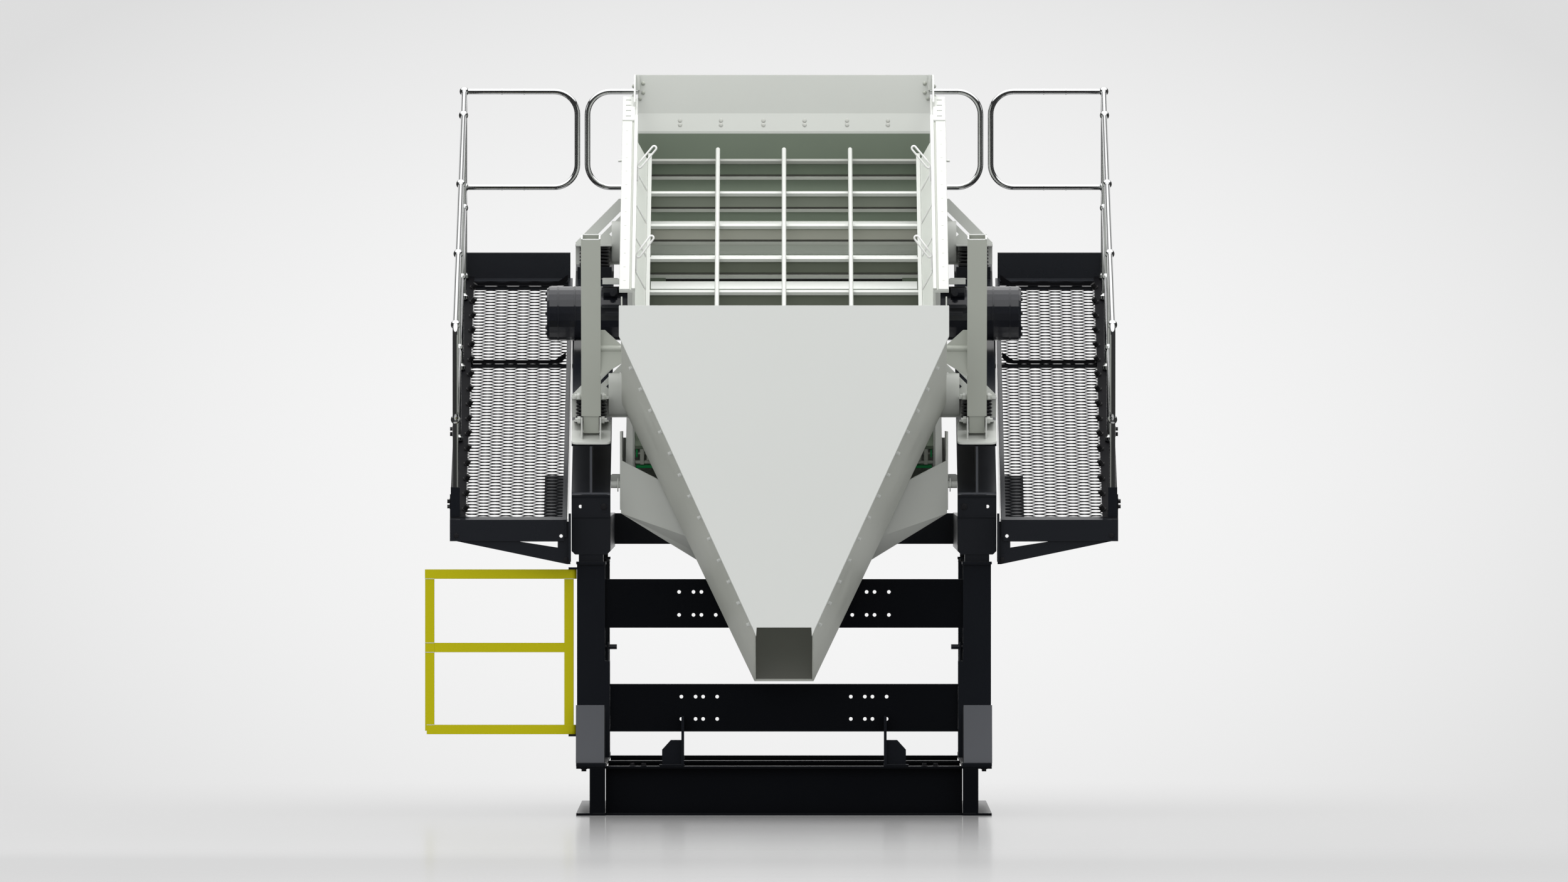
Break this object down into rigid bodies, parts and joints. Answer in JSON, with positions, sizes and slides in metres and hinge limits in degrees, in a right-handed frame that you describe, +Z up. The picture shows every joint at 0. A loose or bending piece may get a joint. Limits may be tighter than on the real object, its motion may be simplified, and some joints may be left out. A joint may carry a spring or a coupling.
{
  "type": "inclined vibrating screen module",
  "caption": "Inclined vibrating screen on a steel skid with side walkways, handrails, coil springs and a height-adjustable discharge chute.",
  "frame": {"origin": "on the ground, midway between the two skid beams and midway along them, under the middle cross beam", "axes": "+X to the right across the deck as seen from the discharge end, +Y along the deck from the discharge end up to the feed end, +Z up"},
  "size_m": [3.95, 5.381, 4.261],
  "materials": {
    "frame_paint": "satin near-black paint",
    "walkway_steel": "satin dark expanded metal",
    "rail_chrome": "bright tube",
    "box_paint": "satin pale grey-green paint",
    "deck_paint": "matte dark green",
    "chute_paint": "satin light grey paint",
    "post_paint": "satin mid grey paint",
    "spring_black": "gloss black",
    "motor_paint": "gloss dark blue-grey paint",
    "rotor_steel": "machined steel",
    "gate_yellow": "satin yellow paint"
  },
  "bodies": {
    "frame": {"base_beam_left": "frame_paint", "base_beam_right": "frame_paint", "base_cross_front": "frame_paint", "base_cross_middle": "frame_paint", "base_cross_rear": "frame_paint", "leg_front_left": "frame_paint", "leg_front_right": "frame_paint", "leg_rear_left": "frame_paint", "leg_rear_right": "frame_paint", "tie_front_upper": "frame_paint", "tie_front_lower": "frame_paint", "tie_rear_upper": "frame_paint", "tie_rear_lower": "frame_paint", "tie_side_left": "frame_paint", "tie_side_right": "frame_paint", "saddle_left": "frame_paint", "saddle_right": "frame_paint", "chord_left": "frame_paint", "chord_right": "frame_paint", "slope_beam_left": "frame_paint", "slope_beam_right": "frame_paint", "post_middle_left": "frame_paint", "post_middle_right": "frame_paint", "post_rear_left": "frame_paint", "post_rear_right": "frame_paint", "upper_cross_rear": "frame_paint", "walkway_frame_left": "frame_paint", "walkway_frame_right": "frame_paint", "walkway_grating_left": "walkway_steel", "walkway_grating_right": "walkway_steel", "handrail_left": "rail_chrome", "handrail_right": "rail_chrome", "handrail_rear": "rail_chrome", "pedestal_left": "box_paint", "pedestal_right": "box_paint", "hopper": "chute_paint", "post_tube_left": "post_paint", "post_tube_right": "post_paint", "spring_front_left": "spring_black", "spring_front_right": "spring_black", "spring_rear_left": "spring_black", "spring_rear_right": "spring_black"},
    "screen": {"side_plate_left": "box_paint", "side_plate_right": "box_paint", "deck_upper": "box_paint", "deck_lower": "deck_paint", "cross_tube_front": "box_paint", "cross_tube_rear": "box_paint", "feed_box": "box_paint", "motor_housing_left": "motor_paint", "motor_housing_right": "motor_paint", "motor_cover_left": "motor_paint", "motor_cover_right": "motor_paint"},
    "rotor_left": {"rotor_left": "rotor_steel"},
    "rotor_right": {"rotor_right": "rotor_steel"},
    "chute": {"chute_body": "post_paint", "chute_front_plate": "chute_paint", "post_sleeve_left": "post_paint", "post_sleeve_right": "post_paint"},
    "gate": {"gate": "gate_yellow"}
  },
  "joints": [
    {"name": "screen_bounce", "type": "slide", "parent": "frame", "child": "screen", "axis": [0, 0, 1], "range_m": [-0.015, 0.015], "stiffness_N_per_m": 1336500, "springref_m": 0.03, "deforming": ["spring_front_left", "spring_front_right", "spring_rear_left", "spring_rear_right"]},
    {"name": "rotor_left_spin", "type": "hinge", "parent": "screen", "child": "rotor_left", "pos_m": [-1.1, -0.43, 2.863], "axis": [1, 0, 0], "continuous": true},
    {"name": "rotor_right_spin", "type": "hinge", "parent": "screen", "child": "rotor_right", "pos_m": [1.1, -0.43, 2.863], "axis": [1, 0, 0], "continuous": true},
    {"name": "chute_lift", "type": "slide", "parent": "frame", "child": "chute", "axis": [0, -0.309, 0.9511], "range_m": [0, 0.3]},
    {"name": "gate_swing", "type": "hinge", "parent": "frame", "child": "gate", "pos_m": [-1.2065, -2.05, 0.4617], "axis": [0, 0, -1], "range_deg": [0, 90]}
  ]
}
